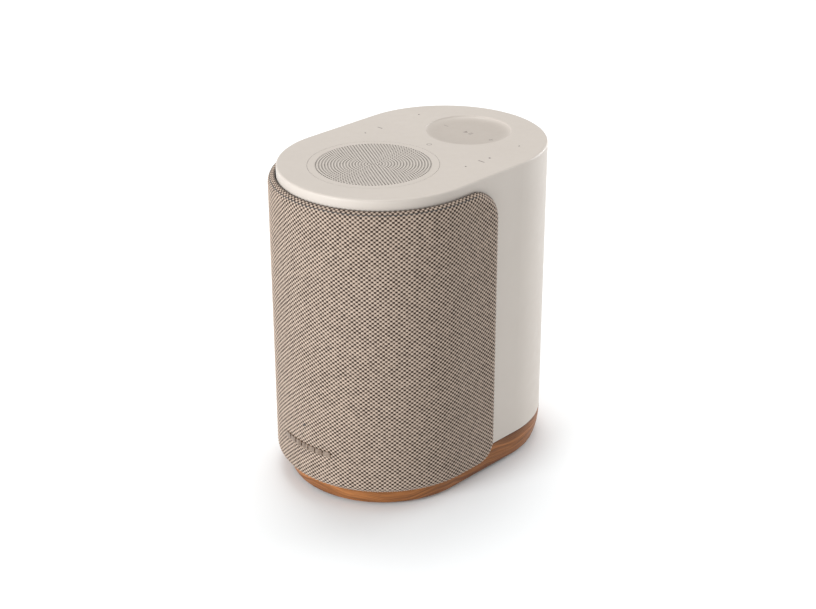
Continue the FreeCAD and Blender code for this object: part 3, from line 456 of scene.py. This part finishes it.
def fabric_cover():
    """One sheet pulled over a rounded panel: flat yarn grid, rolled at the edges and tucked in behind."""
    half_width = FABRIC_RADIUS * math.pi / 2 + ROUND_Y + FABRIC_BACK_Y - ROLL_RADIUS
    half_height = (FABRIC_TOP - FABRIC_BOTTOM) / 2 - ROLL_RADIUS
    middle_z = (FABRIC_TOP + FABRIC_BOTTOM) / 2
    roll_length = ROLL_RADIUS * math.pi / 2
    reach = roll_length + TUCK_DEPTH - ROLL_RADIUS
    steps_across = int((half_width + reach) / (YARN_ACROSS / 2)) + 1
    steps_up = int((half_height + reach) / (YARN_UP / 2)) + 1
    columns = np.arange(-steps_across, steps_across + 1)
    rows = np.arange(-steps_up, steps_up + 1)
    grid_i, grid_j = np.meshgrid(columns, rows)
    flat_s, flat_z = grid_i * YARN_ACROSS / 2, grid_j * YARN_UP / 2
    corner = np.where(flat_z > 0, TOP_CORNER, LOW_CORNER) - ROLL_RADIUS
    over_s = np.abs(flat_s) - (half_width - corner)
    over_z = np.abs(flat_z) - (half_height - corner)
    outside = np.hypot(np.maximum(over_s, 0), np.maximum(over_z, 0))
    in_corner = (over_s > 0) & (over_z > 0)
    past = np.where(in_corner, outside - corner, np.maximum(over_s, over_z) - corner)
    past = np.maximum(past, 0)
    toward_s = np.where(in_corner, over_s / np.maximum(outside, 1e-9), (over_s >= over_z).astype(float))
    toward_z = np.where(in_corner, over_z / np.maximum(outside, 1e-9), (over_s < over_z).astype(float))
    toward_s, toward_z = toward_s * np.sign(flat_s), toward_z * np.sign(flat_z)
    turn = np.minimum(past / ROLL_RADIUS, math.pi / 2)
    straight = np.maximum(past - roll_length, 0)
    relief = WEAVE_RELIEF * np.cos(math.pi * grid_i / 2) * np.cos(math.pi * grid_j / 2)
    sideways = ROLL_RADIUS * np.sin(turn) - past + relief * np.sin(turn)
    depth = ROLL_RADIUS * (1 - np.cos(turn)) + straight - relief * np.cos(turn)
    panel_s = flat_s + toward_s * sideways
    panel_z = flat_z + toward_z * sideways + middle_z
    keep = past <= reach
    index = -np.ones(keep.shape, int)
    index[keep] = np.arange(keep.sum())
    points = []
    for s, z, d in zip(panel_s[keep], panel_z[keep], depth[keep]):
        x, y = around(s, FABRIC_RADIUS - WEAVE_RELIEF - d)
        points.append((x, y, z))
    corners = [index[:-1, :-1], index[:-1, 1:], index[1:, 1:], index[1:, :-1]]
    quads = np.stack(corners, -1).reshape(-1, 4)
    quads = quads[(quads >= 0).all(1)]
    cover = mesh_piece("woven_cover", points, quads, fabric_material(), "fabric_cover")
    set_uv(cover.data, "weave", np.stack([grid_i[keep] / 2, grid_j[keep] / 2], -1))
    # Share of the painted shade along the rolled edges, for the cloth's material.
    painted_fold_shade = cover.data.attributes.new("painted_fold_shade", "FLOAT", "POINT")
    start = FOLD_START - (FOLD_START - SIDE_FOLD_START) * np.abs(toward_s[keep])
    rolled = np.clip((turn[keep] / (math.pi / 2) - start) / (1 - start), 0, 1)
    painted_fold_shade.data.foreach_set("value", rolled.astype(np.float32))


# ---- Wood base ---------------------------------------------------------------------------------

WOOD_TAPER = 3.2 * MM
WOOD_CURVE = 2.2               # power of the curve from the upright top to the slanted foot of the side
WOOD_EDGE = 0.45 * MM
WOOD_COLUMNS = 360


def wood_base():
    """Side curved inwards towards the floor, with small rounded edges and a flat top and bottom."""
    height = wood_high.z - wood_low.z
    levels = [(wood_high.z, -WOOD_EDGE)]
    for turn in np.linspace(0.2, 1.0, 5) * math.pi / 2:
        levels.append((wood_high.z - WOOD_EDGE * (1 - math.cos(turn)), -WOOD_EDGE * (1 - math.sin(turn))))
    for share in np.linspace(0.06, 0.95, 22):
        levels.append((wood_high.z - share * height, -WOOD_TAPER * share ** WOOD_CURVE))
    for turn in np.linspace(0.0, 1.0, 6) * math.pi / 2:
        drop = WOOD_EDGE * math.sin(turn)
        levels.append((wood_low.z + WOOD_EDGE - drop, -WOOD_TAPER - WOOD_EDGE * (1 - math.cos(turn))))
    length = 2 * math.pi * FABRIC_RADIUS + 4 * ROUND_Y
    count = WOOD_COLUMNS
    ring_radius = length / (2 * math.pi)
    points, places, faces = [], [], []
    for z, inset in levels:
        for step in range(count + 1):
            distance = length * (step / count - 0.5)
            x, y = around(distance, CASE_RADIUS + inset)
            points.append((x, y, z))
            turn = 2 * math.pi * step / count
            places.append((ring_radius * math.sin(turn), ring_radius * math.cos(turn), z))
    for level in range(len(levels) - 1):
        for step in range(count):
            a, b = level * (count + 1) + step, (level + 1) * (count + 1) + step
            faces.append((a, b, b + 1, a + 1))
    for level, flip in ((0, False), (len(levels) - 1, True)):
        ring = [level * (count + 1) + step for step in range(count)]
        faces.append(ring[::-1] if flip else ring)
    base = mesh_piece("tapered_wood_base", points, faces, wood_material(), "wood_base")
    grain = base.data.attributes.new("grain", "FLOAT_VECTOR", "POINT")
    grain.data.foreach_set("vector", np.asarray(places, np.float32).ravel())


# ---- Stage -------------------------------------------------------------------------------------

FLOOR_HALF = 6.0
FLOOR_LIGHT = (0.875, 0.893, 0.905)
FLOOR_DARK = (0.86, 0.878, 0.89)


def pale_stage():
    """Plain pale floor."""
    n = Nodes("pale_floor", 0.9)
    color = n.mix(n.remap(n.noise(3.0, n.coords()), 0.3, 0.7, 0, 1), FLOOR_LIGHT, FLOOR_DARK)
    n.shader.inputs["Specular IOR Level"].default_value = 0.1
    corners = [(x * FLOOR_HALF, y * FLOOR_HALF, 0) for x, y in ((-1, -1), (1, -1), (1, 1), (-1, 1))]
    mesh = bpy.data.meshes.new("floor")
    mesh.from_pydata(corners, [], [(0, 1, 2, 3)])
    mesh.materials.append(n.finish(color))
    floor = bpy.data.objects.new("floor", mesh)
    bpy.context.scene.collection.objects.link(floor)


def outward(azimuth, elevation):
    """Unit vector from the object. Azimuth 0 is the front and 90 is +X."""
    turn, rise = math.radians(azimuth), math.radians(elevation)
    return Vector((math.sin(turn) * math.cos(rise), -math.cos(turn) * math.cos(rise), math.sin(rise)))


AIM_HEIGHT = 94.0 * MM         # what the lamps and the camera point at
LAMP_DISTANCE = 2.4


def area_light(name, azimuth, elevation, size, strength, color):
    """Disk lamp aimed at the object. A white surface that faces it comes out as bright as the strength."""
    back = outward(azimuth, elevation)
    data = bpy.data.lights.new(name, "AREA")
    data.shape = "DISK"
    data.size = size
    data.energy = strength * (math.pi * LAMP_DISTANCE) ** 2
    data.color = color
    lamp = bpy.data.objects.new(name, data)
    lamp.location = Vector((0, 0, AIM_HEIGHT)) + back * LAMP_DISTANCE
    lamp.rotation_mode = "QUATERNION"
    lamp.rotation_quaternion = (-back).to_track_quat("-Z", "Y")
    bpy.context.scene.collection.objects.link(lamp)


WORLD_COLOR = (1.0, 0.994, 0.986, 1)
WORLD_STRENGTH = 0.7


def soft_light():
    """Even pale surroundings, a low lamp in front, a low one behind and a soft one overhead."""
    bpy.context.scene.view_settings.view_transform = "Standard"
    world = bpy.data.worlds.new("studio")
    bpy.context.scene.world = world
    world.use_nodes = True
    background = world.node_tree.nodes["Background"]
    background.inputs["Color"].default_value = WORLD_COLOR
    background.inputs["Strength"].default_value = WORLD_STRENGTH
    area_light("key", azimuth=-6, elevation=12, size=1.2, strength=1.05, color=(0.985, 0.993, 1.0))
    area_light("rim", azimuth=168, elevation=7, size=1.6, strength=0.92, color=(0.985, 0.99, 1.0))
    area_light("overhead", azimuth=-128, elevation=68, size=1.4, strength=0.46, color=(1.0, 0.995, 0.985))


CAMERA_AZIMUTH = 44.185
CAMERA_ELEVATION = 25.546
CAMERA_DISTANCE = 1.0075
CAMERA_LENS = 73.6
CAMERA_ROLL = -0.15
AIM_LEFT = 3.8 * MM
AIM_UP = 0.46 * MM


def photo_camera():
    """Camera above the front right edge."""
    back = outward(CAMERA_AZIMUTH, CAMERA_ELEVATION)
    right = outward(CAMERA_AZIMUTH + 90, 0)
    up = back.cross(right)
    target = Vector((0, 0, AIM_HEIGHT)) - right * AIM_LEFT + up * AIM_UP
    data = bpy.data.cameras.new("camera")
    data.lens = CAMERA_LENS
    data.sensor_width = 36.0
    camera = bpy.data.objects.new("camera", data)
    camera.location = target + back * CAMERA_DISTANCE
    camera.rotation_mode = "QUATERNION"
    roll = Quaternion(back, math.radians(CAMERA_ROLL))
    camera.rotation_quaternion = roll @ (-back).to_track_quat("-Z", "Y")
    bpy.context.scene.collection.objects.link(camera)
    bpy.context.scene.camera = camera


dress_cad_nodes()
fabric_cover()
wood_base()
pale_stage()
soft_light()
photo_camera()

bpy.context.view_layer.update()
